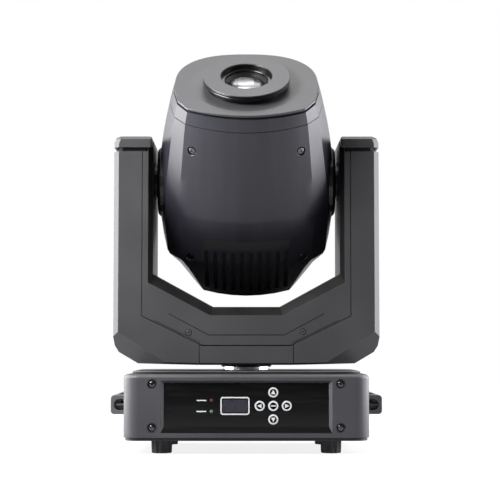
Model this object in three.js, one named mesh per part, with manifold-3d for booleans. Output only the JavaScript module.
// Moving head light: a base with feet and handles, a yoke that pans on the base, and a head that
// tilts in the yoke. Millimetres, +Z up. The origin is the centre of the base's underside, on the
// pan axis; the control panel faces -Y.

import * as THREE from 'three';
import { mergeVertices } from 'three/addons/utils/BufferGeometryUtils.js';
import { LoftGeometry } from 'three/addons/geometries/LoftGeometry.js';
import Module from 'manifold-3d';

const wasm = await Module();
wasm.setup();

// ---------------------------------------------------------------- driving dimensions

// clearances
const SEAM = 0.3; // between two fixed pieces
const RUN = 0.4; // between a piece that moves and its neighbour
const FACETS = 22; // sides of a round piece
const FINE = 28; // sides of a large round piece
const COARSE = 12; // sides of a small round piece

// base
const BASE_WIDTH = 279;
const BASE_DEPTH = 210;
const BASE_HEIGHT = 74.8;
const BASE_CORNER = 18;
const BASE_EDGE = 5; // rounding of the top edge
const BASE_WALL = 3;
const BASE_END_WALL = 6.5; // front and rear, thick enough for the sunk panels
const PLATEAU_RISE = 3.2;
const PLATEAU_INSET = 9;
const FLOOR_THICKNESS = 3;
const FOOT_RADIUS = 12.25;
const FOOT_HEIGHT = 15;
const FOOT_X = 96.5;
const FOOT_Y = 77;
const BRACKET_HALF_SPACING = 53; // quarter-turn holes of a clamp bracket, along Y
const BRACKET_X = 70;
const BRACKET_HOLE = 5.5;
const SEAT_WIDTH = 36; // shallow seat that locates a clamp bracket
const SEAT_LENGTH = 136;
const SEAT_DEPTH = 0.6;

// control panel and rear panel
const PANEL_WIDTH = 186;
const PANEL_LOW = 15.5;
const PANEL_HIGH = 64.9;
const PANEL_SUNK = 4;
const PANEL_THICKNESS = 2.2;
const BEVEL_SIDE = 3.7;
const BEVEL_LOW = 6.9;
const BEVEL_HIGH = 2.7;
const BUTTON_RADIUS = 5.7;
const BUTTON_PITCH = 15.2;
const BUTTON_X = 30.3;
const PANEL_MIDDLE = 39.2;
const BUTTON_PROUD = 1;
const BUTTON_TRAVEL = 0.8;
const SCREEN_X = -12.9;
const SCREEN_WIDTH = 32.9;
const SCREEN_HEIGHT = 20.2;
const SCREEN_POCKET = 1.2;
const LAMP_X = -39.3;
const LAMP_RADIUS = 1.6;
const LAMP_HALF_SPACING = 6.25;
const SCREW_RECESS = 5.65;
const SCREW_RECESS_DEPTH = 3;
const BASE_SCREW_X = 106.3;
const BASE_SCREW_LOW = 14.6;
const BASE_SCREW_HIGH = 63.7;

// side handles
const HANDLE_REACH = 16.7;
const HANDLE_HEIGHT = 22;
const HANDLE_MIDDLE = 39.5;
const HANDLE_LENGTH = 136;
const HANDLE_FOOT = 15;
const HANDLE_BAR = 6.7;
const HANDLE_POCKET = 19; // depth of the finger recess in the base's side
const POCKET_LENGTH = 100;
const POCKET_HEIGHT = 50;

// pan drive
const POST_RADIUS = 20;
const POST_BORE = 12;
const POST_TOP = 116;
const COLLAR_RADIUS = 30;
const PAN_BELT_Z = 106.5;
const PAN_PULLEY_RADIUS = 36;
const PAN_PINION_RADIUS = 9;
const PAN_BELT_SPAN = 30; // between the rims of the two pulleys
const BELT_THICKNESS = 1.6;
const BELT_WIDTH = 7.4;
const PULLEY_WIDTH = 11;
const FLANGE = 2.5;
const PAN_MOTOR_SIZE = 56;
const BEARING_RADIUS = 31;

// yoke
const YOKE_HALF_WIDTH = 154.6;
const YOKE_HALF_DEPTH = 62.5;
const YOKE_BOTTOM = 83.1;
const YOKE_TOP = 351.4;
const YOKE_WALL = 3;
const YOKE_ROUND = 6; // rounding of the covers' outer front and rear edges
const LINER_HALF_GAP = 109.2;
const LINER_HALF_DEPTH = 46.5;
const LINER_WALL = 2.5;
const LINER_BEND_HIGH = 190.8;
const LINER_BEND_X = 38.8;
const LINER_FLOOR = 152.3;
const LINER_TOP = 346.5;
const RIM_HALF_GAP = 114.2;
const RIM_BEND_HIGH = 180;
const RIM_BEND_X = 42.2;
const RIM_FLOOR = 142.1;
const TRIM_HALF_WIDTH = 121.2;
const TRIM_BEND_HIGH = 141.4;
const TRIM_BEND_X = 51.4;
const TRIM_FLOOR = 107.4;
const BOTTOM_COVER_HALF = 54.5;
const CAP_LOW = 337.9;
const CAP_GROOVE = 4.8;
const FRAME_THICKNESS = 3;
const FRAME_Z = 92;
const FRAME_SIDE_X = 117.5;
const FRAME_HALF_DEPTH = 42;

// tilt drive
const TILT_Z = 304.1;
const TILT_REST = 38; // degrees from upright, lens towards the front
const SHAFT_RADIUS = 20;
const SHAFT_BORE = 8;
const SHAFT_END = 140;
const TILT_PULLEY_RADIUS = 32;
const TILT_PINION_RADIUS = 8;
const TILT_PINION_Z = 149;
const TILT_BELT_X = 133.5;
const TILT_MOTOR_SIZE = 42;
const TILT_MOTOR_LENGTH = 35;

// head, in its own frame: +Z along the light beam, -Y the front cover, origin on the tilt axis
const HEAD_WALL = 2.5;
const PLATE_TOP = 133.2;
const PLATE_THICKNESS = 2.6;
const PLATE_GAP = 0.9;
const BEZEL_LOW = 113.2;
const HEAD_END = -126;
const END_CAP_THICKNESS = 3.2;
const BOSS_RADIUS = 42.3;
const BOSS_FACE = 105.5;
const BOSS_ROOT = 84;
const RING_RADIUS = 50.3;
const RING_TOP = 143.8;
const RING_THICKNESS = 6.8;
const RING_NECK = 46;
const RING_MOUTH = 30.4;
const RING_STEP = 24.9;
const BARREL_RADIUS = 33;
const LENS_RADIUS = 20;
const LENS_EDGE = 130.5;
const VENT_PITCH = 10.6;
const VENT_COUNT = 10;
const VENT_WIDTH = 4.6;
const VENT_LOW = -117;
const VENT_HIGH = -50;

// head insides
const BENCH_LOW = -53;
const BENCH_MIDDLE = -4;
const BENCH_HIGH = 52;
const BENCH_THICKNESS = 3;
const BENCH_HALF_WIDTH = 80;
const BENCH_HALF_DEPTH = 34;
const WHEEL_RADIUS = 38;
const WHEEL_OFFSET = 28;
const WHEEL_THICKNESS = 1.6;
const WHEEL_PORTS = 8;
const PORT_RADIUS = 7.5;
const COLOUR_WHEEL_Z = -22;
const GOBO_WHEEL_Z = -12;
const STEPPER_SIZE = 28;
const STEPPER_HEIGHT = 25;
const CARRIAGE_Z = 14;
const CARRIAGE_THICKNESS = 10;
const RAIL_X = 38;
const RAIL_RADIUS = 3;
const HEATSINK_SIZE = 80;
const HEATSINK_TOP = -62;
const HEATSINK_BOTTOM = -107;
const FAN_RADIUS = 36;
const FAN_Z = -119;
const FAN_DEPTH = 9;

// ---------------------------------------------------------------- geometry helpers

// A closed three.js geometry as a solid that can be joined and cut.
function solid(geometry) {
  const bare = new THREE.BufferGeometry().copy(geometry);
  bare.deleteAttribute('normal');
  bare.deleteAttribute('uv');
  const merged = mergeVertices(bare, 1e-4);
  const points = merged.attributes.position;
  const triVerts = Uint32Array.from(merged.index.array);
  const a = new THREE.Vector3();
  const b = new THREE.Vector3();
  const c = new THREE.Vector3();
  let volume = 0;
  for (let i = 0; i < triVerts.length; i += 3) {
    a.fromBufferAttribute(points, triVerts[i]);
    b.fromBufferAttribute(points, triVerts[i + 1]);
    c.fromBufferAttribute(points, triVerts[i + 2]);
    volume += a.dot(b.cross(c));
  }
  if (volume < 0) triVerts.reverse();
  const vertProperties = Float32Array.from(points.array);
  return new wasm.Manifold(new wasm.Mesh({ numProp: 3, vertProperties, triVerts }));
}

function joined(pieces) {
  return pieces.reduce((whole, piece) => whole.add(piece));
}

function cut(body, tools) {
  return tools.reduce((left, tool) => left.subtract(tool), body);
}

function box(x0, x1, y0, y1, z0, z1) {
  const block = new THREE.BoxGeometry(x1 - x0, y1 - y0, z1 - z0);
  return solid(block.translate((x0 + x1) / 2, (y0 + y1) / 2, (z0 + z1) / 2));
}

// A round bar along an axis from one end to the other; the centre is given in the other two axes.
function bar(axis, radius, from, to, centre = [0, 0], facets = FACETS) {
  const middle = (from + to) / 2;
  const shape = new THREE.CylinderGeometry(radius, radius, to - from, facets);
  if (axis === 'x') shape.rotateZ(Math.PI / 2).translate(middle, centre[0], centre[1]);
  if (axis === 'y') shape.translate(centre[0], middle, centre[1]);
  if (axis === 'z') shape.rotateX(Math.PI / 2).translate(centre[0], centre[1], middle);
  return solid(shape);
}

// The radius that a many-sided hole is drawn with, so that its flats clear a round bar.
function clear(radius, facets = FACETS) {
  return radius / Math.cos(Math.PI / facets);
}

// A round hole whose flats lie at the radius.
function bore(axis, radius, from, to, centre = [0, 0], facets = FACETS) {
  return bar(axis, clear(radius, facets), from, to, centre, facets);
}

// A turned piece: its profile is a closed loop of [radius, height] points about an axis.
function turned(axis, profile, facets = FACETS) {
  const loop = [...profile, profile[0]].map(([r, h]) => new THREE.Vector2(r, h));
  const shape = new THREE.LatheGeometry(loop, facets);
  if (axis === 'x') shape.rotateZ(-Math.PI / 2);
  if (axis === 'z') shape.rotateX(Math.PI / 2);
  return solid(shape);
}

function outline(points) {
  return new THREE.Shape(points.map(([x, y]) => new THREE.Vector2(x, y)));
}

// An outline in X and Z, drawn out along Y, with its two ends rounded if a bevel is given.
function slab(points, y0, y1, round = 0) {
  const settings = {
    depth: y1 - y0 - 2 * round,
    curveSegments: 6,
    bevelEnabled: round > 0,
    bevelThickness: round,
    bevelSize: round,
    bevelOffset: -round,
    bevelSegments: 3,
  };
  const shape = new THREE.ExtrudeGeometry(outline(points), settings);
  return solid(shape.rotateX(Math.PI / 2).translate(0, y1 - round, 0));
}

// An outline in X and Y, drawn up along Z.
function deck(points, z0, z1) {
  const shape = new THREE.ExtrudeGeometry(outline(points), { depth: z1 - z0, bevelEnabled: false });
  return solid(shape.translate(0, 0, z0));
}

// A convex outline moved in by a distance, listed anticlockwise.
function inset(points, distance) {
  const lines = points.map((p, i) => {
    const q = points[(i + 1) % points.length];
    const length = Math.hypot(q[0] - p[0], q[1] - p[1]);
    const inward = [-(q[1] - p[1]) / length, (q[0] - p[0]) / length];
    return { inward, reach: p[0] * inward[0] + p[1] * inward[1] + distance };
  });
  return lines.map((line, i) => {
    const last = lines[(i + lines.length - 1) % lines.length];
    const turn = last.inward[0] * line.inward[1] - last.inward[1] * line.inward[0];
    const x = (last.reach * line.inward[1] - line.reach * last.inward[1]) / turn;
    const y = (line.reach * last.inward[0] - last.reach * line.inward[0]) / turn;
    return [x, y];
  });
}

function mirrored(rightHalf) {
  const leftHalf = rightHalf.map(([x, y]) => [-x, y]).reverse();
  return [...rightHalf, ...leftHalf];
}

function roundedRectangle(width, depth, radius, steps = 5) {
  const points = [];
  const corners = [[1, -1], [1, 1], [-1, 1], [-1, -1]];
  corners.forEach(([sx, sy], quarter) => {
    for (let i = 0; i <= steps; i += 1) {
      const angle = (quarter - 1 + i / steps) * (Math.PI / 2);
      const x = sx * (width / 2 - radius) + radius * Math.cos(angle);
      const y = sy * (depth / 2 - radius) + radius * Math.sin(angle);
      points.push([x, y]);
    }
  });
  return points;
}

function loft(sections) {
  return solid(new LoftGeometry(sections, { capStart: true, capEnd: true }));
}

// A loop round two pulleys, whose straight steps stay clear of the radii given.
function beltLoop(big, small, centres, steps = FINE / 2) {
  const lean = Math.asin((big - small) / centres);
  const tangent = Math.PI / 2 - lean;
  const points = [];
  const arc = (centre, radius, from, to) => {
    const reach = radius / Math.cos((to - from) / steps / 2);
    for (let i = 0; i <= steps; i += 1) {
      const angle = from + ((to - from) * i) / steps;
      points.push([centre + reach * Math.cos(angle), reach * Math.sin(angle)]);
    }
  };
  arc(0, big, tangent, 2 * Math.PI - tangent);
  arc(centres, small, -tangent, tangent);
  return points;
}

function plain(colour, roughness, metalness) {
  return new THREE.MeshStandardMaterial({ color: colour, roughness, metalness });
}

const shellGrey = plain(0x55555b, 0.5, 0);
const headGrey = plain(0x42424a, 0.45, 0);
const plateGrey = plain(0x5d5d62, 0.45, 0);
const black = plain(0x17181a, 0.45, 0);
const gloss = plain(0x101113, 0.1, 0);
const rubber = plain(0x242427, 0.85, 0);
const steel = plain(0xb9babd, 0.25, 1);
const aluminium = plain(0xa9abae, 0.4, 1);
const board = plain(0x14532f, 0.6, 0);
const glass = plain(0xdfe8ee, 0.05, 0);
const white = plain(0xe8e8ea, 0.5, 0);

const light = new THREE.Group();
const yoke = new THREE.Group();
const head = new THREE.Group();
head.position.set(0, 0, TILT_Z);
head.rotation.set(THREE.MathUtils.degToRad(TILT_REST), 0, 0);
yoke.add(head);
light.add(yoke);

function place(parent, name, body, material) {
  const result = body.getMesh();
  const geometry = new THREE.BufferGeometry();
  geometry.setAttribute('position', new THREE.BufferAttribute(result.vertProperties, 3));
  geometry.setIndex(new THREE.BufferAttribute(result.triVerts, 1));
  const mesh = new THREE.Mesh(geometry, material);
  mesh.name = name;
  parent.add(mesh);
}

// ---------------------------------------------------------------- base

const halfWidth = BASE_WIDTH / 2;
const halfDepth = BASE_DEPTH / 2;

function baseSection(shrink, z) {
  const radius = Math.max(BASE_CORNER - shrink, 4);
  const points = roundedRectangle(BASE_WIDTH - 2 * shrink, BASE_DEPTH - 2 * shrink, radius);
  return points.map(([x, y]) => new THREE.Vector3(x, y, z));
}

// Window through the front or rear wall, with sloping edges down to the sunk panel.
function panelWindow(side) {
  const face = side * (halfDepth + 1);
  const seat = side * (halfDepth - PANEL_SUNK);
  const grow = (PANEL_SUNK + 1) / PANEL_SUNK;
  const corner = (x, z) => {
    const wide = x * (PANEL_WIDTH / 2 + BEVEL_SIDE * grow);
    const tall = z > 0 ? PANEL_HIGH + BEVEL_HIGH * grow : PANEL_LOW - BEVEL_LOW * grow;
    const low = z > 0 ? PANEL_HIGH : PANEL_LOW;
    return [
      new THREE.Vector3(wide, face, tall),
      new THREE.Vector3((x * PANEL_WIDTH) / 2, seat, low),
    ];
  };
  const loop = [corner(-1, -1), corner(1, -1), corner(1, 1), corner(-1, 1)];
  const outer = loop.map((pair) => pair[0]);
  const inner = loop.map((pair) => pair[1]);
  const slope = loft(side < 0 ? [inner, outer] : [outer, inner]);
  const y0 = Math.min(seat + side * 0.5, side * (halfDepth - 30));
  const y1 = Math.max(seat + side * 0.5, side * (halfDepth - 30));
  const through = box(-PANEL_WIDTH / 2, PANEL_WIDTH / 2, y0, y1, PANEL_LOW, PANEL_HIGH);
  return slope.add(through);
}

const housingFloor = FLOOR_THICKNESS + SEAM;
const ceiling = BASE_HEIGHT - BASE_WALL - 0.5;

function baseHousing() {
  const steps = [
    [0, housingFloor],
    [0, BASE_HEIGHT - BASE_EDGE],
    [BASE_EDGE * 0.3, BASE_HEIGHT - BASE_EDGE * 0.3],
    [BASE_EDGE, BASE_HEIGHT],
    [PLATEAU_INSET, BASE_HEIGHT],
    [PLATEAU_INSET + PLATEAU_RISE, BASE_HEIGHT + PLATEAU_RISE],
  ];
  const outside = loft(steps.map(([shrink, z]) => baseSection(shrink, z)));
  const hollow = deck(
    roundedRectangle(BASE_WIDTH - 2 * BASE_WALL, BASE_DEPTH - 2 * BASE_END_WALL, BASE_CORNER - BASE_WALL),
    housingFloor - 1,
    ceiling,
  );
  const pocketWall = HANDLE_POCKET + BASE_WALL;
  const pocketBlocks = [-1, 1].map((side) => {
    const x = [side * (halfWidth - pocketWall), side * (halfWidth - BASE_WALL / 2)].sort((a, b) => a - b);
    const z = (POCKET_HEIGHT + 2 * BASE_WALL) / 2;
    const y = POCKET_LENGTH / 2 + BASE_WALL;
    return box(x[0], x[1], -y, y, HANDLE_MIDDLE - z, HANDLE_MIDDLE + z);
  });
  const pockets = [-1, 1].map((side) => {
    const x = [side * (halfWidth - HANDLE_POCKET), side * (halfWidth + 5)].sort((a, b) => a - b);
    const z = POCKET_HEIGHT / 2;
    return box(x[0], x[1], -POCKET_LENGTH / 2, POCKET_LENGTH / 2, HANDLE_MIDDLE - z, HANDLE_MIDDLE + z);
  });
  const recesses = [];
  [-1, 1].forEach((side) => {
    [BASE_SCREW_LOW, BASE_SCREW_HIGH].forEach((z) => {
      recesses.push(bar('y', SCREW_RECESS, -halfDepth - 1, SCREW_RECESS_DEPTH - halfDepth,
        [side * BASE_SCREW_X, z], COARSE));
    });
  });
  const shell = joined([outside.subtract(hollow), ...pocketBlocks]);
  const postHole = bore('z', POST_RADIUS + SEAM, ceiling - 5, BASE_HEIGHT + PLATEAU_RISE + 1);
  return cut(shell, [...pockets, ...recesses, panelWindow(-1), panelWindow(1), postHole]);
}

function basePlate() {
  const plate = deck(roundedRectangle(BASE_WIDTH - 4, BASE_DEPTH - 4, BASE_CORNER - 2), 0, FLOOR_THICKNESS);
  const holes = [];
  [-1, 1].forEach((side) => {
    const seat = deck(roundedRectangle(SEAT_WIDTH, SEAT_LENGTH, 4, 2), -1, SEAT_DEPTH);
    holes.push(seat.translate([side * BRACKET_X, 0, 0]));
    [-1, 1].forEach((end) => {
      const place = [side * BRACKET_X, end * BRACKET_HALF_SPACING];
      holes.push(bar('z', BRACKET_HOLE, -1, FLOOR_THICKNESS + 1, place, COARSE));
    });
  });
  // slot for the safety cable
  holes.push(box(-14, 14, halfDepth - 24, halfDepth - 16, -1, FLOOR_THICKNESS + 1));
  return cut(plate, holes);
}

place(light, 'base_housing', baseHousing(), shellGrey);
place(light, 'base_plate', basePlate(), black);

function foot(x, y) {
  const profile = [
    [0, -FOOT_HEIGHT],
    [FOOT_RADIUS - 2.5, -FOOT_HEIGHT],
    [FOOT_RADIUS, 3 - FOOT_HEIGHT],
    [FOOT_RADIUS, -SEAM],
    [0, -SEAM],
  ];
  return turned('z', profile, COARSE).translate([x, y, 0]);
}

[['front', -1], ['rear', 1]].forEach(([end, sy]) => {
  [['left', -1], ['right', 1]].forEach(([side, sx]) => {
    place(light, `foot_${end}_${side}`, foot(sx * FOOT_X, sy * FOOT_Y), rubber);
  });
});

// Bow handle on one side of the base: two feet and a grip bar, and a D-shaped socket for the
// fixing screw in the outer end of each foot.
function sideHandle(side) {
  const low = HANDLE_MIDDLE - HANDLE_HEIGHT / 2;
  const high = HANDLE_MIDDLE + HANDLE_HEIGHT / 2;
  const round = 4;
  const near = SEAM;
  const section = [
    [near, low],
    [HANDLE_REACH - round, low],
    [HANDLE_REACH - round * 0.3, low + round * 0.3],
    [HANDLE_REACH, low + round],
    [HANDLE_REACH, high - round],
    [HANDLE_REACH - round * 0.3, high - round * 0.3],
    [HANDLE_REACH - round, high],
    [near, high],
  ];
  const half = HANDLE_LENGTH / 2;
  const whole = slab(section, -half, half);
  const gap = box(-1, HANDLE_REACH - HANDLE_BAR, HANDLE_FOOT - half, half - HANDLE_FOOT, low - 1, high + 1);
  const socket = (y0, y1) => {
    const reach = HANDLE_REACH - 5.5;
    const z = HANDLE_HEIGHT / 2 - 5;
    const d = [
      [-1, HANDLE_MIDDLE - z],
      [reach - z * 0.7, HANDLE_MIDDLE - z],
      [reach, HANDLE_MIDDLE - z * 0.4],
      [reach, HANDLE_MIDDLE + z * 0.4],
      [reach - z * 0.7, HANDLE_MIDDLE + z],
      [-1, HANDLE_MIDDLE + z],
    ];
    return slab(d, y0, y1);
  };
  const body = cut(whole, [gap, socket(-half - 1, 8 - half), socket(half - 8, half + 1)]);
  const right = body.translate([halfWidth, 0, 0]);
  return side > 0 ? right : right.mirror([1, 0, 0]);
}

place(light, 'side_handle_left', sideHandle(-1), black);
place(light, 'side_handle_right', sideHandle(1), black);

const panelFace = -halfDepth + PANEL_SUNK;
const buttonSpots = {
  enter: [0, 0],
  up: [0, 1],
  down: [0, -1],
  left: [-1, 0],
  right: [1, 0],
};

function panelPlate() {
  const low = PANEL_LOW + SEAM;
  const high = PANEL_HIGH - SEAM;
  const half = PANEL_WIDTH / 2 - SEAM;
  return box(-half, half, panelFace, panelFace + PANEL_THICKNESS, low, high);
}

function controlPanel() {
  const back = panelFace + PANEL_THICKNESS + 1;
  const holes = Object.values(buttonSpots).map(([i, k]) => {
    const centre = [BUTTON_X + i * BUTTON_PITCH, PANEL_MIDDLE + k * BUTTON_PITCH];
    return bore('y', BUTTON_RADIUS + RUN, panelFace - 1, back, centre, COARSE);
  });
  [-1, 1].forEach((k) => {
    const centre = [LAMP_X, PANEL_MIDDLE + k * LAMP_HALF_SPACING];
    holes.push(bore('y', LAMP_RADIUS + SEAM, panelFace - 1, back, centre, COARSE));
  });
  const screenPocket = box(
    SCREEN_X - SCREEN_WIDTH / 2,
    SCREEN_X + SCREEN_WIDTH / 2,
    panelFace - 1,
    panelFace + SCREEN_POCKET,
    PANEL_MIDDLE - SCREEN_HEIGHT / 2,
    PANEL_MIDDLE + SCREEN_HEIGHT / 2,
  );
  return cut(panelPlate(), [...holes, screenPocket]);
}

place(light, 'control_panel', controlPanel(), gloss);

const buttonBack = panelFace + PANEL_THICKNESS + 2;
Object.entries(buttonSpots).forEach(([name, [i, k]]) => {
  const centre = [BUTTON_X + i * BUTTON_PITCH, PANEL_MIDDLE + k * BUTTON_PITCH];
  const cap = bar('y', BUTTON_RADIUS, panelFace - BUTTON_PROUD, buttonBack, centre, COARSE);
  place(light, `button_${name}`, cap, gloss);
});

const boardFace = buttonBack + BUTTON_TRAVEL + RUN;
const controlBoard = box(-PANEL_WIDTH / 2 + 6, PANEL_WIDTH / 2 - 6, boardFace, boardFace + 1.6,
  PANEL_LOW + 3, PANEL_HIGH - 3);
place(light, 'control_board', controlBoard, board);

// Rear panel with one mains inlet and two signal sockets.
const rearFace = halfDepth - PANEL_SUNK;
const INLET_X = -58;
const INLET_HALF_WIDTH = 14;
const INLET_HALF_HEIGHT = 10;
const SIGNAL_IN_X = 28;
const SIGNAL_OUT_X = 64;
const SIGNAL_RADIUS = 11.5;
const SOCKET_FLANGE = 2;
const SOCKET_DEPTH = 22;

function rearPanel() {
  const plate = box(-PANEL_WIDTH / 2 + SEAM, PANEL_WIDTH / 2 - SEAM, rearFace - PANEL_THICKNESS, rearFace,
    PANEL_LOW + SEAM, PANEL_HIGH - SEAM);
  const inlet = box(INLET_X - INLET_HALF_WIDTH - SEAM, INLET_X + INLET_HALF_WIDTH + SEAM, rearFace - 9,
    rearFace + 1, PANEL_MIDDLE - INLET_HALF_HEIGHT - SEAM, PANEL_MIDDLE + INLET_HALF_HEIGHT + SEAM);
  const round = [SIGNAL_IN_X, SIGNAL_OUT_X].map((x) =>
    bore('y', SIGNAL_RADIUS + SEAM, rearFace - 9, rearFace + 1, [x, PANEL_MIDDLE], FACETS));
  return cut(plate, [inlet, ...round]);
}

function mainsInlet() {
  const front = rearFace + SEAM + SOCKET_FLANGE;
  const back = front - SOCKET_DEPTH;
  const z = PANEL_MIDDLE;
  const flange = box(INLET_X - 24, INLET_X + 24, rearFace + SEAM, front, z - 13, z + 13);
  const body = box(INLET_X - INLET_HALF_WIDTH, INLET_X + INLET_HALF_WIDTH, back, front,
    z - INLET_HALF_HEIGHT, z + INLET_HALF_HEIGHT);
  const well = box(INLET_X - 12, INLET_X + 12, back + 4, front + 1, z - 8, z + 8);
  const pins = [[-7, -2], [0, 2], [7, -2]].map(([x, dz]) =>
    box(INLET_X + x - 1, INLET_X + x + 1, back + 3, front - 3, z + dz - 2, z + dz + 2));
  return joined([cut(flange.add(body), [well]), ...pins]);
}

function signalSocket(x, male) {
  const front = rearFace + SEAM + SOCKET_FLANGE;
  const back = front - SOCKET_DEPTH;
  const z = PANEL_MIDDLE;
  const flange = box(x - 13, x + 13, rearFace + SEAM, front, z - 15.5, z + 15.5);
  const body = bar('y', SIGNAL_RADIUS, back, front, [x, z], FACETS);
  const well = bar('y', 9.4, back + 4, front + 1, [x, z], FACETS);
  const spots = [0, 120, 240].map((a) => {
    const angle = THREE.MathUtils.degToRad(a - 90);
    return [x + 4.5 * Math.cos(angle), z + 4.5 * Math.sin(angle)];
  });
  const shell = cut(flange.add(body), [well]);
  if (male) return joined([shell, ...spots.map((spot) => bar('y', 1.2, back + 3, front - 3, spot, 10))]);
  const core = bar('y', 7.4, back + 3, front - 1, [x, z], FACETS);
  return shell.add(cut(core, spots.map((spot) => bar('y', 1.4, back + 6, front + 1, spot, 10))));
}

place(light, 'rear_panel', rearPanel(), black);
place(light, 'mains_inlet', mainsInlet(), black);
place(light, 'signal_in_socket', signalSocket(SIGNAL_IN_X, true), steel);
place(light, 'signal_out_socket', signalSocket(SIGNAL_OUT_X, false), steel);

const powerSupply = box(-110, -50, -70, 60, FLOOR_THICKNESS + 6, FLOOR_THICKNESS + 50).add(
  box(-104, -56, -64, 54, FLOOR_THICKNESS + SEAM, FLOOR_THICKNESS + 7));
place(light, 'power_supply', powerSupply, aluminium);

// ---------------------------------------------------------------- pan drive

const panCentres = PAN_PULLEY_RADIUS + PAN_PINION_RADIUS + PAN_BELT_SPAN;

function panPost() {
  return turned('z', [
    [POST_BORE, ceiling - 8],
    [45, ceiling - 8],
    [45, ceiling - SEAM - 4],
    [POST_RADIUS + 4, ceiling - SEAM - 4],
    [POST_RADIUS, ceiling - SEAM],
    [POST_RADIUS, POST_TOP],
    [POST_BORE, POST_TOP],
  ]);
}

function panCollar() {
  const low = BASE_HEIGHT + PLATEAU_RISE + SEAM;
  const high = YOKE_BOTTOM - RUN;
  const inner = clear(POST_RADIUS + SEAM);
  return turned('z', [
    [inner, low],
    [COLLAR_RADIUS, low],
    [COLLAR_RADIUS, high],
    [inner, high],
  ], FINE);
}

// Flanged belt pulley about an axis, as a profile of radius and place along the axis.
function pulleyProfile(bore, radius, middle) {
  const half = PULLEY_WIDTH / 2;
  const lip = (PULLEY_WIDTH - BELT_WIDTH) / 2 - RUN;
  return [
    [bore, middle - half],
    [radius + FLANGE, middle - half],
    [radius + FLANGE, middle - half + lip],
    [radius, middle - half + lip],
    [radius, middle + half - lip],
    [radius + FLANGE, middle + half - lip],
    [radius + FLANGE, middle + half],
    [bore, middle + half],
  ];
}

place(light, 'pan_post', panPost(), aluminium);
place(light, 'pan_collar', panCollar(), steel);
place(light, 'pan_pulley', turned('z', pulleyProfile(clear(POST_RADIUS + SEAM), PAN_PULLEY_RADIUS, PAN_BELT_Z), FINE),
  aluminium);

function panBearing() {
  return turned('z', [
    [clear(POST_RADIUS + RUN), FRAME_Z - 2],
    [BEARING_RADIUS, FRAME_Z - 2],
    [BEARING_RADIUS, FRAME_Z + FRAME_THICKNESS + 2],
    [clear(POST_RADIUS + RUN), FRAME_Z + FRAME_THICKNESS + 2],
  ]);
}

function panMotor() {
  const half = PAN_MOTOR_SIZE / 2;
  const low = PAN_BELT_Z + PULLEY_WIDTH / 2 + 3;
  const high = LINER_FLOOR - LINER_WALL - 1;
  const body = deck(roundedRectangle(PAN_MOTOR_SIZE, PAN_MOTOR_SIZE, 5, 2), low, high);
  // four legs, clear of the belt where it widens towards the large pulley
  const legs = [];
  [3 - half, 0].forEach((x) => {
    [-1, 1].forEach((k) => {
      legs.push(bar('z', 2.5, FRAME_Z + FRAME_THICKNESS + SEAM, low + 1, [x, k * (half - 3)], 8));
    });
  });
  const motor = cut(joined([body, ...legs]), [bore('z', 3 + RUN, low - 1, low + 8, [0, 0], COARSE)]);
  return motor.translate([-panCentres, 0, 0]);
}

function belt(big, small, centres) {
  const gap = RUN;
  const outer = outline(beltLoop(big + gap + BELT_THICKNESS, small + gap + BELT_THICKNESS, centres));
  outer.holes.push(outline(beltLoop(big + gap, small + gap, centres)));
  const shape = new THREE.ExtrudeGeometry(outer, { depth: BELT_WIDTH, bevelEnabled: false });
  return shape.translate(0, 0, -BELT_WIDTH / 2);
}

const panBelt = solid(belt(PAN_PULLEY_RADIUS, PAN_PINION_RADIUS, panCentres)
  .rotateZ(Math.PI).translate(0, 0, PAN_BELT_Z));

const panPinion = turned('z', pulleyProfile(0, PAN_PINION_RADIUS, PAN_BELT_Z), COARSE)
  .add(bar('z', 3, PAN_BELT_Z, PAN_BELT_Z + PULLEY_WIDTH / 2 + 9, [0, 0], COARSE))
  .translate([-panCentres, 0, 0]);

place(yoke, 'pan_bearing', panBearing(), steel);
place(yoke, 'pan_motor', panMotor(), black);
place(yoke, 'pan_belt', panBelt, rubber);
place(yoke, 'pan_pinion', panPinion, aluminium);

// ---------------------------------------------------------------- yoke

const yokeOutline = mirrored([
  [BOTTOM_COVER_HALF, YOKE_BOTTOM + 1.6],
  [126.2, YOKE_BOTTOM + 3.4],
  [YOKE_HALF_WIDTH - 6, YOKE_BOTTOM + 16.6],
  [YOKE_HALF_WIDTH - 1.5, YOKE_BOTTOM + 24],
  [YOKE_HALF_WIDTH, YOKE_BOTTOM + 34],
  [YOKE_HALF_WIDTH, YOKE_TOP - 8],
  [YOKE_HALF_WIDTH - 2.3, YOKE_TOP - 2.3],
  [YOKE_HALF_WIDTH - 8, YOKE_TOP],
]);

function uShape(half, bendHigh, bendX, floor, top) {
  return mirrored([
    [bendX, floor],
    [half, bendHigh],
    [half, top],
  ]);
}

const above = YOKE_TOP + 10;
const rim = (grow) => uShape(RIM_HALF_GAP + grow, RIM_BEND_HIGH - grow * 0.5, RIM_BEND_X + grow * 0.3,
  RIM_FLOOR - grow, above);

// The yoke's form moved in by a distance; its front and rear edges are rounded.
function yokeForm(distance) {
  const half = YOKE_HALF_DEPTH - distance;
  return slab(inset(yokeOutline, distance), -half, half, distance > 0 ? 1 : YOKE_ROUND);
}

// A skin of the yoke, open towards the head, before it is divided into covers.
function yokeSkin(outerInset, innerInset) {
  const opening = slab(rim(0), -YOKE_HALF_DEPTH - 5, YOKE_HALF_DEPTH + 5);
  return cut(yokeForm(outerInset), [yokeForm(innerInset), opening]);
}

const skin = yokeSkin(0, YOKE_WALL);
const grooveLow = CAP_LOW - CAP_GROOVE;
const far = YOKE_HALF_WIDTH + 10;
const deep = YOKE_HALF_DEPTH + 10;

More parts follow.
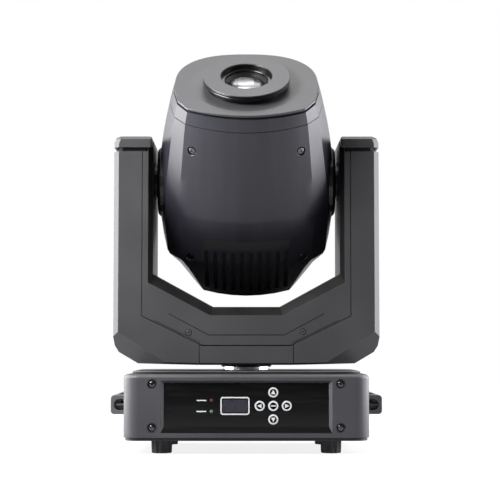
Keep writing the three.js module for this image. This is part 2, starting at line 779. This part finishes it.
const trimOutline = (grow, top) => mirrored([
  [TRIM_BEND_X + grow * 0.3, TRIM_FLOOR - grow],
  [TRIM_HALF_WIDTH + grow, TRIM_BEND_HIGH - grow * 0.5],
  [TRIM_HALF_WIDTH + grow, top],
]);

const frontTrim = skin.intersect(slab(trimOutline(-SEAM / 2, grooveLow), -deep, -10));
const rearTrim = skin.intersect(slab(trimOutline(-SEAM / 2, grooveLow), 10, deep));

function armCover(side) {
  const region = slab([
    [BOTTOM_COVER_HALF + SEAM / 2, YOKE_BOTTOM - 5],
    [far, YOKE_BOTTOM - 5],
    [far, grooveLow],
    [BOTTOM_COVER_HALF + SEAM / 2, grooveLow],
  ], -deep, deep);
  const piece = cut(skin.intersect(region), [slab(trimOutline(SEAM / 2, above), -deep, deep)]);
  return side > 0 ? piece : piece.mirror([1, 0, 0]);
}

function bottomCover() {
  const half = BOTTOM_COVER_HALF - SEAM / 2;
  const region = box(-half, half, -deep, deep, YOKE_BOTTOM - 5, TRIM_FLOOR + 20);
  const tools = [
    slab(trimOutline(SEAM / 2, above), -deep, deep),
    bore('z', POST_RADIUS + 2, YOKE_BOTTOM - 5, TRIM_FLOOR),
  ];
  return cut(skin.intersect(region), tools);
}

// Cap on top of an arm, with a narrower neck that leaves a shadow groove and enters the covers.
function armCap(side) {
  const top = skin.intersect(box(RIM_HALF_GAP, far, -deep, deep, CAP_LOW, above));
  const neckRing = yokeSkin(YOKE_WALL + SEAM, YOKE_WALL + SEAM + 2);
  const neckNear = RIM_HALF_GAP + LINER_WALL + 2 * SEAM;
  const neck = neckRing.intersect(box(neckNear, far, -deep, deep, grooveLow - 6, YOKE_TOP - YOKE_WALL));
  const shelf = yokeForm(YOKE_WALL - 0.5)
    .intersect(box(neckNear, far, -deep, deep, CAP_LOW, CAP_LOW + 1.5))
    .subtract(box(RIM_HALF_GAP, YOKE_HALF_WIDTH - 8, 10 - YOKE_HALF_DEPTH, YOKE_HALF_DEPTH - 10, 0, above));
  const piece = joined([top, neck, shelf]);
  return side > 0 ? piece : piece.mirror([1, 0, 0]);
}

place(yoke, 'yoke_trim_front', frontTrim, shellGrey);
place(yoke, 'yoke_trim_rear', rearTrim, shellGrey);
place(yoke, 'arm_cover_left', armCover(-1), shellGrey);
place(yoke, 'arm_cover_right', armCover(1), shellGrey);
place(yoke, 'yoke_bottom_cover', bottomCover(), shellGrey);
place(yoke, 'arm_cap_left', armCap(-1), shellGrey);
place(yoke, 'arm_cap_right', armCap(1), shellGrey);

// Inner lining of the yoke: a U-shaped channel whose front and rear edges flare out to the trims.
function yokeLiner() {
  const section = (y, [half, bendHigh, bendX, floor], grow, top) => {
    const points = mirrored([
      [bendX + grow * 0.3, floor - grow],
      [half + grow, bendHigh - grow * 0.5],
      [half + grow, top],
    ]);
    return points.reverse().map(([x, z]) => new THREE.Vector3(x, y, z));
  };
  const edge = YOKE_HALF_DEPTH - YOKE_WALL - SEAM;
  const flat = [LINER_HALF_GAP, LINER_BEND_HIGH, LINER_BEND_X, LINER_FLOOR];
  const flare = [RIM_HALF_GAP - SEAM, RIM_BEND_HIGH, RIM_BEND_X - 0.2, RIM_FLOOR + SEAM];
  const form = (grow, top, over) => loft([
    section(-edge - over, flare, grow, top),
    section(-edge, flare, grow, top),
    section(-LINER_HALF_DEPTH, flat, grow, top),
    section(LINER_HALF_DEPTH, flat, grow, top),
    section(edge, flare, grow, top),
    section(edge + over, flare, grow, top),
  ]);
  const outside = form(LINER_WALL, LINER_TOP, 0.01).intersect(slab([
    [-far, YOKE_BOTTOM], [far, YOKE_BOTTOM], [far, above], [-far, above],
  ], -edge, edge));
  const channel = outside.subtract(form(0, above, 2));
  const lips = [-1, 1].map((side) => {
    const x = [side * (LINER_HALF_GAP + 1), side * (RIM_HALF_GAP + 1.5)].sort((a, b) => a - b);
    return box(x[0], x[1], -LINER_HALF_DEPTH, LINER_HALF_DEPTH, LINER_TOP - 2.5, LINER_TOP);
  });
  const shaftHole = bore('x', SHAFT_RADIUS + 4, -far, far, [0, TILT_Z]);
  return cut(joined([channel, ...lips]), [shaftHole]);
}

place(yoke, 'yoke_liner', yokeLiner(), black);

const tiltMotorHole = 11;

function yokeFrame() {
  const outer = FRAME_SIDE_X + FRAME_THICKNESS;
  const floor = box(-outer, outer, -50, 50, FRAME_Z, FRAME_Z + FRAME_THICKNESS);
  const sides = [-1, 1].map((side) => {
    const x = [side * FRAME_SIDE_X, side * outer].sort((a, b) => a - b);
    return box(x[0], x[1], -FRAME_HALF_DEPTH, FRAME_HALF_DEPTH, FRAME_Z + 1, TILT_Z + 27);
  });
  return cut(joined([floor, ...sides]), [
    bore('z', BEARING_RADIUS + SEAM, FRAME_Z - 1, FRAME_Z + FRAME_THICKNESS + 1),
    bore('x', SHAFT_RADIUS + 1, -far, far, [0, TILT_Z]),
    bore('x', tiltMotorHole, 0, far, [0, TILT_PINION_Z], COARSE),
  ]);
}

place(yoke, 'yoke_frame', yokeFrame(), steel);

// ---------------------------------------------------------------- tilt drive

function tiltBearing(side) {
  const near = FRAME_SIDE_X + FRAME_THICKNESS + SEAM;
  const ring = turned('x', [
    [clear(SHAFT_RADIUS + RUN), near],
    [BEARING_RADIUS, near],
    [BEARING_RADIUS, near + 6.5],
    [clear(SHAFT_RADIUS + RUN), near + 6.5],
  ]).translate([0, 0, TILT_Z]);
  return side > 0 ? ring : ring.mirror([1, 0, 0]);
}

place(yoke, 'tilt_bearing_left', tiltBearing(-1), steel);
place(yoke, 'tilt_bearing_right', tiltBearing(1), steel);

function tiltMotor() {
  const half = TILT_MOTOR_SIZE / 2;
  const face = FRAME_SIDE_X - SEAM;
  const body = box(face - TILT_MOTOR_LENGTH, face, -half, half, TILT_PINION_Z - half, TILT_PINION_Z + half);
  return cut(body, [bore('x', 2.5 + RUN, face - 8, face + 1, [0, TILT_PINION_Z], COARSE)]);
}

const tiltPinion = turned('x', pulleyProfile(0, TILT_PINION_RADIUS, TILT_BELT_X), COARSE)
  .add(bar('x', 2.5, FRAME_SIDE_X - 7, TILT_BELT_X, [0, 0], COARSE))
  .translate([0, 0, TILT_PINION_Z]);

const tiltBelt = solid(belt(TILT_PULLEY_RADIUS, TILT_PINION_RADIUS, TILT_Z - TILT_PINION_Z)
  .rotateY(Math.PI / 2).translate(TILT_BELT_X, 0, TILT_Z));

place(yoke, 'tilt_motor', tiltMotor(), black);
place(yoke, 'tilt_pinion', tiltPinion, aluminium);
place(yoke, 'tilt_belt', tiltBelt, rubber);

// Round hub on each side of the head: a boss let into the covers, and the hollow tilt shaft.
function tiltHub(side) {
  const body = turned('x', [
    [SHAFT_BORE, BOSS_ROOT],
    [BOSS_RADIUS, BOSS_ROOT],
    [BOSS_RADIUS, BOSS_FACE - 3.5],
    [BOSS_RADIUS - 3.5, BOSS_FACE],
    [SHAFT_RADIUS, BOSS_FACE],
    [SHAFT_RADIUS, SHAFT_END],
    [SHAFT_BORE, SHAFT_END],
  ]);
  return side > 0 ? body : body.mirror([1, 0, 0]);
}

place(head, 'tilt_hub_left', tiltHub(-1), black);
place(head, 'tilt_hub_right', tiltHub(1), black);
place(head, 'tilt_pulley', turned('x', pulleyProfile(clear(SHAFT_RADIUS + SEAM), TILT_PULLEY_RADIUS, TILT_BELT_X), FINE),
  aluminium);

// ---------------------------------------------------------------- head shells

// Cross-sections of the head: place along the beam, half-width and depth of the front face's corner,
// depth at the middle, half-width and depth of the outer edge of the corner strip, greatest half-width.
const headStations = [
  { z: HEAD_END, corner: [52.5, 48], middle: 60, edge: [61.7, 31], side: 63.5 },
  { z: -88, corner: [69, 57], middle: 69.5, edge: [80.5, 42.5], side: 84.5 },
  { z: -72, corner: [77, 62], middle: 75, edge: [92.5, 47], side: 100 },
  { z: -66, corner: [77.6, 62.6], middle: 76, edge: [95, 47.5], side: 101 },
  { z: -30, corner: [79.2, 65.5], middle: 82, edge: [96.4, 50], side: 104.3 },
  { z: 12, corner: [78.2, 66], middle: 85, edge: [95, 50.8], side: 104.3 },
  { z: 60, corner: [74.4, 63], middle: 83, edge: [89.8, 46.5], side: 99.2 },
  { z: BEZEL_LOW, corner: [69.4, 59.3], middle: 79.5, edge: [82.2, 43], side: 88.1 },
  { z: PLATE_TOP, corner: [65.8, 58.5], middle: 75, edge: [77.4, 39.3], side: 82.2 },
];
const REAR_FULLNESS = 2.5; // how square the rounded rear half is
const CORNER_STEPS = 6;

function headSection(station, shrink, z = station.z) {
  const middle = station.middle - shrink;
  const side = station.side - shrink;
  const corner = [station.corner[0] - shrink * 0.6, station.corner[1] - shrink * 0.8];
  const edge = [station.edge[0] - shrink, station.edge[1] - shrink * 0.5];
  const points = [];
  for (let i = 0; i <= 2 * CORNER_STEPS; i += 1) {
    const angle = (i / (2 * CORNER_STEPS)) * Math.PI;
    const x = Math.sign(Math.cos(angle)) * side * Math.abs(Math.cos(angle)) ** (2 / REAR_FULLNESS);
    const y = middle * Math.sin(angle) ** (2 / REAR_FULLNESS);
    points.push([x, y]);
  }
  const front = [[-side, -12], [-edge[0], -edge[1]]];
  const bow = CORNER_STEPS;
  for (let i = 0; i <= bow; i += 1) {
    const t = (2 * i) / bow - 1;
    front.push([t * corner[0], -(corner[1] + (middle - corner[1]) * (1 - t * t))]);
  }
  front.push([edge[0], -edge[1]], [side, -12]);
  return [...points, ...front].map(([x, y]) => new THREE.Vector3(x, y, z));
}

// The section at any place along the beam, between two stations.
function stationAt(z) {
  const next = headStations.findIndex((s) => s.z > z);
  const upper = next < 0 ? headStations.length - 1 : Math.max(next, 1);
  const a = headStations[upper - 1];
  const b = headStations[upper];
  const t = (z - a.z) / (b.z - a.z);
  const mix = (p, q) => p + (q - p) * t;
  return {
    z,
    corner: [mix(a.corner[0], b.corner[0]), mix(a.corner[1], b.corner[1])],
    middle: mix(a.middle, b.middle),
    edge: [mix(a.edge[0], b.edge[0]), mix(a.edge[1], b.edge[1])],
    side: mix(a.side, b.side),
  };
}

function headSolid(low, high, shrink) {
  const between = headStations.filter((s) => s.z > low + 0.5 && s.z < high - 0.5);
  const stations = [stationAt(low), ...between, stationAt(high)];
  return loft(stations.map((s) => headSection(s, shrink)));
}

const coverLow = HEAD_END + END_CAP_THICKNESS + SEAM;
const coverHigh = BEZEL_LOW - SEAM;
const bossHoles = bore('x', BOSS_RADIUS + SEAM, -far, far, [0, 0], FINE);
const coverShell = headSolid(coverLow, coverHigh, 0).subtract(headSolid(coverLow - 2, coverHigh + 2, HEAD_WALL));

function ventSlots(side) {
  const slots = [];
  for (let i = 0; i < VENT_COUNT; i += 1) {
    const x = (i - (VENT_COUNT - 1) / 2) * VENT_PITCH;
    const y = side < 0 ? [-deep, -40] : [40, deep];
    slots.push(box(x - VENT_WIDTH / 2, x + VENT_WIDTH / 2, y[0], y[1], VENT_LOW, VENT_HIGH));
  }
  return slots;
}

function headCover(side) {
  const y = side < 0 ? [-150, -SEAM / 2] : [SEAM / 2, 150];
  const half = coverShell.intersect(box(-150, 150, y[0], y[1], -150, 150));
  return cut(half, [bossHoles, ...ventSlots(side)]);
}

place(head, 'head_front_cover', headCover(-1), headGrey);
place(head, 'head_rear_cover', headCover(1), headGrey);

const bezelHigh = PLATE_TOP - PLATE_THICKNESS - PLATE_GAP;

function headBezel() {
  const outside = headSolid(BEZEL_LOW, bezelHigh, 0);
  const inside = headSolid(BEZEL_LOW - 2, bezelHigh - HEAD_WALL, HEAD_WALL);
  return cut(outside, [inside, bore('z', BARREL_RADIUS + SEAM, BEZEL_LOW, PLATE_TOP)]);
}

function lensPlate() {
  const plate = headSolid(PLATE_TOP - PLATE_THICKNESS, PLATE_TOP, -0.4);
  const dish = bar('z', 65, PLATE_TOP - 0.8, PLATE_TOP + 1, [0, 0], FINE);
  return cut(plate, [dish, bore('z', RING_NECK + SEAM, BEZEL_LOW, PLATE_TOP + 5, [0, 0], FINE)]);
}

place(head, 'head_bezel', headBezel(), headGrey);
place(head, 'lens_plate', lensPlate(), plateGrey);

// Raised front ring and the lens barrel below it, turned in one piece.
function lensRing() {
  const ringLow = RING_TOP - RING_THICKNESS;
  const seat = PLATE_TOP - PLATE_THICKNESS;
  return turned('z', [
    [LENS_RADIUS - 2, BENCH_HIGH + BENCH_THICKNESS + SEAM],
    [BARREL_RADIUS, BENCH_HIGH + BENCH_THICKNESS + SEAM],
    [BARREL_RADIUS, seat],
    [RING_NECK, seat],
    [RING_NECK, ringLow],
    [RING_RADIUS, ringLow],
    [RING_RADIUS, RING_TOP - 1],
    [RING_RADIUS - 1, RING_TOP],
    [RING_MOUTH + 1, RING_TOP],
    [RING_MOUTH, RING_TOP - 1],
    [RING_MOUTH, RING_TOP - 6],
    [RING_STEP, RING_TOP - 6],
    [RING_STEP, RING_TOP - 9],
    [clear(LENS_RADIUS + SEAM), RING_TOP - 12],
    [clear(LENS_RADIUS + SEAM), LENS_EDGE - 3.5],
    [LENS_RADIUS - 2, LENS_EDGE - 3.5],
  ], FINE);
}

function frontLens() {
  const profile = [[0, LENS_EDGE - 3], [LENS_RADIUS - 1, LENS_EDGE - 3], [LENS_RADIUS, LENS_EDGE - 2]];
  const steps = 6;
  const crown = 5.5;
  for (let i = 0; i <= steps; i += 1) {
    const angle = (i / steps) * (Math.PI / 2);
    profile.push([LENS_RADIUS * Math.cos(angle), LENS_EDGE + crown * Math.sin(angle)]);
  }
  profile[profile.length - 1][0] = 0;
  return turned('z', profile);
}

place(head, 'lens_ring', lensRing(), plateGrey);
place(head, 'front_lens', frontLens(), glass);

function endCap() {
  const plate = headSolid(HEAD_END, HEAD_END + END_CAP_THICKNESS, 0);
  const slots = [];
  for (let i = -3; i <= 3; i += 1) {
    const half = Math.sqrt(Math.max(FAN_RADIUS ** 2 - (i * VENT_PITCH) ** 2, 0));
    slots.push(box(i * VENT_PITCH - VENT_WIDTH / 2, i * VENT_PITCH + VENT_WIDTH / 2, -half, half,
      HEAD_END - 1, HEAD_END + END_CAP_THICKNESS + 1));
  }
  const spindle = bar('z', 2.5, HEAD_END + END_CAP_THICKNESS - 1, FAN_Z + FAN_DEPTH, [0, 0], COARSE);
  const hub = bar('z', 13, HEAD_END, HEAD_END + END_CAP_THICKNESS, [0, 0], FACETS);
  return joined([cut(plate, slots), hub, spindle]);
}

place(head, 'head_end_cap', endCap(), headGrey);

// ---------------------------------------------------------------- head insides

function fanRotor() {
  const hub = turned('z', [
    [clear(2.5 + RUN), FAN_Z],
    [13, FAN_Z],
    [13, FAN_Z + FAN_DEPTH],
    [clear(2.5 + RUN), FAN_Z + FAN_DEPTH],
  ], FACETS);
  const blades = [];
  const count = 7;
  for (let i = 0; i < count; i += 1) {
    const blade = new THREE.BoxGeometry(FAN_RADIUS - 11, 1.6, 8.5);
    blade.rotateX(THREE.MathUtils.degToRad(48)).translate((FAN_RADIUS + 10) / 2, 0, FAN_Z + FAN_DEPTH / 2);
    blade.rotateZ((i / count) * 2 * Math.PI);
    blades.push(solid(blade));
  }
  return joined([hub, ...blades]);
}

place(head, 'fan_rotor', fanRotor(), black);

function heatsink() {
  const half = HEATSINK_SIZE / 2;
  const base = box(-half, half, -half, half, HEATSINK_TOP - 6, HEATSINK_TOP);
  const fins = [];
  const count = 11;
  for (let i = 0; i < count; i += 1) {
    const x = -half + 1 + (i * (HEATSINK_SIZE - 2)) / (count - 1);
    fins.push(box(x - 1, x + 1, -half, half, HEATSINK_BOTTOM, HEATSINK_TOP - 5));
  }
  return joined([base, ...fins]);
}

place(head, 'led_heatsink', heatsink(), aluminium);

const ledTop = BENCH_LOW - SEAM;

function ledModule() {
  const low = HEATSINK_TOP + SEAM;
  const board2 = box(-22, 22, -22, 22, low, low + 3);
  return board2.add(bar('z', 12, low + 2, ledTop, [0, 0], FACETS));
}

place(head, 'led_module', ledModule(), white);

function headChassis() {
  const bench = (z) => box(-BENCH_HALF_WIDTH - 2, BENCH_HALF_WIDTH + 2, -BENCH_HALF_DEPTH, BENCH_HALF_DEPTH,
    z, z + BENCH_THICKNESS);
  const sides = [-1, 1].map((side) => {
    const x = [side * BENCH_HALF_WIDTH, side * (BENCH_HALF_WIDTH + FRAME_THICKNESS)].sort((a, b) => a - b);
    return box(x[0], x[1], -30, 30, BENCH_LOW, BENCH_HIGH + BENCH_THICKNESS);
  });
  const rails = [-1, 1].map((side) =>
    bar('z', RAIL_RADIUS, BENCH_MIDDLE + 1, BENCH_HIGH + 1, [side * RAIL_X, 0], COARSE));
  const over = BENCH_THICKNESS + 1;
  return cut(joined([bench(BENCH_LOW), bench(BENCH_MIDDLE), bench(BENCH_HIGH), ...sides, ...rails]), [
    bar('z', 10, BENCH_LOW - 1, BENCH_LOW + over, [0, 0], FACETS),
    bar('z', 16, BENCH_MIDDLE - 1, BENCH_MIDDLE + over, [0, 0], FACETS),
    bar('z', 24, BENCH_HIGH - 1, BENCH_HIGH + over, [0, 0], FACETS),
    ...[-1, 1].map((side) => bar('x', SHAFT_BORE, side < 0 ? -90 : 70, side < 0 ? -70 : 90, [0, 0], COARSE)),
  ]);
}

place(head, 'head_chassis', headChassis(), aluminium);

// Filter wheel with round ports, on its own motor's spindle.
function filterWheel(z, y, shaftLow) {
  const disc = bar('z', WHEEL_RADIUS, z, z + WHEEL_THICKNESS, [0, 0], FINE);
  const ports = [];
  for (let i = 0; i < WHEEL_PORTS; i += 1) {
    const angle = (i / WHEEL_PORTS) * 2 * Math.PI + Math.PI / 2;
    const centre = [WHEEL_OFFSET * Math.cos(angle), WHEEL_OFFSET * Math.sin(angle)];
    ports.push(bar('z', PORT_RADIUS, z - 1, z + WHEEL_THICKNESS + 1, centre, COARSE));
  }
  const spindle = bar('z', 2.5, shaftLow, z + WHEEL_THICKNESS + 3, [0, 0], COARSE);
  return cut(disc, ports).add(spindle).translate([0, y, 0]);
}

const stepperLow = BENCH_LOW + BENCH_THICKNESS + SEAM;
const stepperHigh = stepperLow + STEPPER_HEIGHT;

function wheelMotor(y) {
  const half = STEPPER_SIZE / 2;
  const body = box(-half, half, -half, half, stepperLow, stepperHigh);
  return cut(body, [bore('z', 2.5 + RUN, stepperHigh - 8, stepperHigh + 1, [0, 0], COARSE)]).translate([0, y, 0]);
}

place(head, 'colour_wheel', filterWheel(COLOUR_WHEEL_Z, WHEEL_OFFSET, stepperHigh - 7), steel);
place(head, 'gobo_wheel', filterWheel(GOBO_WHEEL_Z, -WHEEL_OFFSET, stepperHigh - 7), aluminium);
place(head, 'colour_motor', wheelMotor(WHEEL_OFFSET), black);
place(head, 'gobo_motor', wheelMotor(-WHEEL_OFFSET), black);

function focusCarriage() {
  const high = CARRIAGE_Z + CARRIAGE_THICKNESS;
  const ring = bar('z', 28, CARRIAGE_Z, high, [0, 0], FACETS);
  const ears = [-1, 1].map((side) => bar('z', 9, CARRIAGE_Z, high, [side * RAIL_X, 0], COARSE));
  const link = box(-RAIL_X, RAIL_X, -6, 6, CARRIAGE_Z, high);
  const bores = [-1, 1].map((side) =>
    bore('z', RAIL_RADIUS + RUN, CARRIAGE_Z - 1, high + 1, [side * RAIL_X, 0], COARSE));
  const lightWay = bar('z', 21, CARRIAGE_Z + 2, high + 1, [0, 0], FACETS);
  return cut(joined([ring, ...ears, link]), [...bores, lightWay]);
}

place(head, 'focus_carriage', focusCarriage(), black);

export default light;
